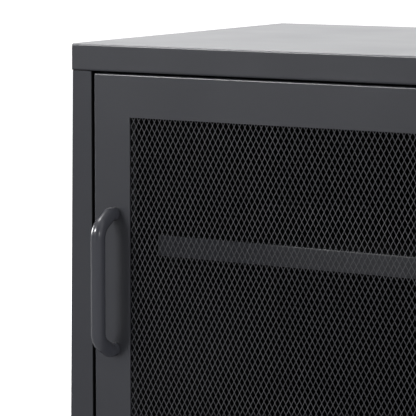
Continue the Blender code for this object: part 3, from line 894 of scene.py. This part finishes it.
def make_handle(name, body):
    """A round bar swept along its line, its ends flat against the door."""
    node = f"{name}_handle"
    low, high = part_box(node)
    centre = Vector(((low.x + high.x) / 2, high.y, (low.z + high.z) / 2))
    line = bar_line()
    mesh = bmesh.new()
    rings = []
    for i, point in enumerate(line):
        before, after = line[max(i - 1, 0)], line[min(i + 1, len(line) - 1)]
        one = (point - before).normalized() if i else (after - point).normalized()
        two = (after - point).normalized() if i < len(line) - 1 else one
        along = (one + two).normalized()
        across = Vector((along.y, -along.x))
        ring = []
        for k in range(BAR_SIDES):
            a = 2 * math.pi * (k + 0.5) / BAR_SIDES
            out = point.x + across.x * BAR_RADIUS * math.sin(a)
            up = point.y + across.y * BAR_RADIUS * math.sin(a)
            if i in (0, len(line) - 1):
                up -= along.y / along.x * out
                out = 0.0
            ring.append(mesh.verts.new(centre + Vector((BAR_RADIUS * math.cos(a), -out, up))))
        rings.append(ring)
    for near, far in zip(rings, rings[1:]):
        for k in range(BAR_SIDES):
            n = (k + 1) % BAR_SIDES
            mesh.faces.new((near[k], near[n], far[n], far[k]))
    mesh.faces.new(rings[0])
    mesh.faces.new(rings[-1])
    return piece(f"{node}_bent", mesh, body, handle_powder, [node])


def make_catch(name, body):
    """The magnetic catch on the cabinet and its rounded strike plate on the door."""
    node = f"{name}_magnet_catch"
    mesh = box_mesh(*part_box(node))
    fold(mesh, mesh.edges[:], 0.0012, 3)
    housing = f"{name}_catch_housing"
    piece(housing, mesh, "cabinet", black_plastic, [node], edges=None)
    node = f"{name}_strike_plate"
    mesh = box_mesh(*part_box(node))
    fold(mesh, corner_edges(mesh, 1, 0.001), 0.003, 4)
    piece(f"{name}_strike_rounded", mesh, body, zinc, [node])


lid = make_lid()
make_floor()
for side_name, side_sign in SIDES:
    make_side(side_name, side_sign)
    make_partition(side_name)
shelves = []
for bay in BAYS:
    make_back(bay)
    shelves.append(make_shelf(bay))
make_back_screws()
for side_name, _ in SIDES:
    for along_name in ("front", "rear"):
        make_leg(f"{side_name}_{along_name}")

door_frames, handles = [], []
for side_name, _ in SIDES:
    door = f"{side_name}_door"
    door_frames.append(make_frame(side_name, door))
    make_expanded_metal(side_name, door)
    handles.append(make_handle(side_name, door))
    make_catch(side_name, door)
    for strip in ("hinge", "free"):
        # The door strips are wholly painted shade.
        keep(f"{side_name}_door_strip_{strip}", painted_shade_powder)
    for end in ("low", "high"):
        keep(f"{side_name}_pivot_pin_{end}", zinc)
        keep(f"{side_name}_handle_screw_{end}", zinc)
        keep(f"{side_name}_bush_{end}", nylon)


# ---------------------------------------------------------------- studio

DOOR_CORNER = Vector((-0.55, -0.18, 0.30))  # where the lamps aim
LID_EDGE = Vector((-0.45, -0.18, 0.50))  # and where the overhead one does
CAMERA_TURN = (29.346, 7.308, 0.114)  # yaw to the left, pitch down and roll, in degrees
CAMERA_FROM_CORNER = (1.0247, -1.5793, 0.1142)  # from the lid's front left corner


def make_floor_disc():
    """A pale studio floor. It looks white, and throws less light back up at the stand."""
    radius, steps = 30.0, 96
    angles = [2 * math.pi * i / steps for i in range(steps)]
    mesh = bmesh.new()
    ring = [(radius * math.cos(a), radius * math.sin(a), 0) for a in angles]
    mesh.faces.new([mesh.verts.new(point) for point in ring])
    data = bpy.data.meshes.new("studio_floor")
    mesh.to_mesh(data)
    mesh.free()
    made = bpy.data.objects.new("studio_floor", data)
    bpy.context.scene.collection.objects.link(made)
    paper = bpy.data.materials.new("white_studio_paper")
    paper.use_nodes = True
    g = Graph(paper.node_tree)
    g.tree.nodes.clear()
    seen, bounced = g.node("ShaderNodeBsdfDiffuse"), g.node("ShaderNodeBsdfDiffuse")
    seen.inputs["Color"].default_value = (0.86, 0.86, 0.86, 1.0)
    bounced.inputs["Color"].default_value = (0.28, 0.28, 0.28, 1.0)
    lift = g.node("ShaderNodeEmission")
    lift.inputs["Strength"].default_value = 0.50
    bright = g.node("ShaderNodeAddShader")
    g.wire(seen.outputs[0], bright.inputs[0])
    g.wire(lift.outputs[0], bright.inputs[1])
    choose = g.node("ShaderNodeMixShader")
    g.wire(g.node("ShaderNodeLightPath").outputs["Is Camera Ray"], choose.inputs[0])
    g.wire(bounced.outputs[0], choose.inputs[1])
    g.wire(bright.outputs[0], choose.inputs[2])
    g.wire(choose.outputs[0], g.node("ShaderNodeOutputMaterial").inputs["Surface"])
    data.materials.append(paper)


def make_world():
    """White behind the stand and overhead, darker in front and at the left."""
    world = bpy.data.worlds.new("studio")
    bpy.context.scene.world = world
    world.use_nodes = True
    g = Graph(world.node_tree)
    g.tree.nodes.clear()
    split = g.node("ShaderNodeSeparateXYZ")
    g.wire(g.node("ShaderNodeTexCoord").outputs["Generated"], split.inputs[0])
    side = g.ranged(split.outputs["Y"], -0.62, -0.28, 0.03, 0.9)
    back = g.math("ADD", side, g.ranged(split.outputs["Y"], 0.0, 0.6, 0.0, 1.0))
    level = g.math("MULTIPLY", back, g.ranged(split.outputs["X"], -0.90, -0.55, 0.12, 1.0))
    seen = g.math("MULTIPLY", g.node("ShaderNodeLightPath").outputs["Is Camera Ray"], 1.5)
    level = g.math("MAXIMUM", level, seen)
    sky = g.node("ShaderNodeBackground")
    g.wire(level, sky.inputs["Strength"])
    g.wire(sky.outputs[0], g.node("ShaderNodeOutputWorld").inputs["Surface"])


def softbox(name, at, aim, width, height, power, glossy=True, diffuse=True):
    light = bpy.data.lights.new(name, "AREA")
    light.shape = "RECTANGLE"
    light.size, light.size_y = width, height
    light.energy = power
    made = bpy.data.objects.new(name, light)
    made.location = at
    made.rotation_mode = "QUATERNION"
    made.rotation_quaternion = (Vector(aim) - Vector(at)).to_track_quat("-Z", "Y")
    made.visible_camera = False
    made.visible_glossy = glossy
    made.visible_diffuse = diffuse
    bpy.context.scene.collection.objects.link(made)
    return made


def flag(lamp, pieces, state):
    """Keeps a lamp off these pieces (EXCLUDE) or on them alone (INCLUDE), as flags do."""
    screened = bpy.data.collections.new(lamp.name + "_flag")
    lamp.light_linking.receiver_collection = screened
    for made in pieces:
        screened.objects.link(made)
    for link in screened.collection_objects:
        link.light_linking.link_state = state


def around(aim, azimuth, elevation, distance):
    """A place at a distance from aim: azimuth 0 is straight in front, positive to the right."""
    a, e = math.radians(azimuth), math.radians(elevation)
    way = Vector((math.sin(a) * math.cos(e), -math.cos(a) * math.cos(e), math.sin(e)))
    return Vector(aim) + distance * way


def make_camera():
    """Close on the lid's front left corner, from the right and a little above."""
    low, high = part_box("top_lid")
    corner = Vector((low.x, low.y, high.z))
    yaw, pitch, roll = (math.radians(angle) for angle in CAMERA_TURN)
    camera = bpy.data.cameras.new("view")
    camera.lens = 185.9
    camera.sensor_width = 36.0
    camera.shift_y = -0.05
    made = bpy.data.objects.new("view", camera)
    bpy.context.scene.collection.objects.link(made)
    turn = Matrix.Rotation(yaw, 4, "Z") @ Matrix.Rotation(math.radians(90) - pitch, 4, "X")
    turn = turn @ Matrix.Rotation(roll, 4, "Z")
    made.matrix_world = Matrix.Translation(corner + Vector(CAMERA_FROM_CORNER)) @ turn
    bpy.context.scene.camera = made


def lamp(name, place, size, power, only=(), never=(), **sees):
    """A soft box around the door's corner, at (azimuth, elevation, distance)."""
    made = softbox(name, around(DOOR_CORNER, *place), DOOR_CORNER, *size, power, **sees)
    if never:
        flag(made, never, "EXCLUDE")
    if only:
        flag(made, only, "INCLUDE")


def make_lamps():
    """Broad ones give the matt light, and strips give the highlights along folds and handles."""
    matt, shine = {"glossy": False}, {"diffuse": False}
    folds = [lid] + door_frames
    lamp("tall_key", (-23, 2, 4.0), (1.15, 2.4), 80, never=shelves, **matt)
    lamp("shelf_light", (30, 4, 3.0), (1.2, 1.2), 37, only=shelves, **matt)
    lamp("front_fill", (25, 12, 4.0), (2.0, 2.0), 8, **matt)
    lamp("left_rim", (-98, 10, 2.5), (0.7, 0.5), 30)
    lamp("handle_light", (50, 4, 3.0), (0.9, 0.9), 26, only=handles, **matt)
    lamp("right_spot", (51, 18, 2.5), (0.12, 0.12), 7.0, only=handles, **shine)
    lamp("top_strip", (-33, 33, 3.0), (1.0, 0.4), 80, **shine)
    lamp("fold_strip", (-33, 31, 3.0), (1.4, 0.9), 20, only=folds, **shine)
    lamp("side_strip", (-68, 0, 3.0), (0.8, 0.9), 14, only=door_frames, **shine)
    softbox("overhead", LID_EDGE + Vector((-0.68, 0.40, 1.22)), LID_EDGE, 0.9, 0.7, 20)


make_floor_disc()
make_world()
make_lamps()
make_camera()
bpy.context.scene.view_settings.view_transform = "Standard"
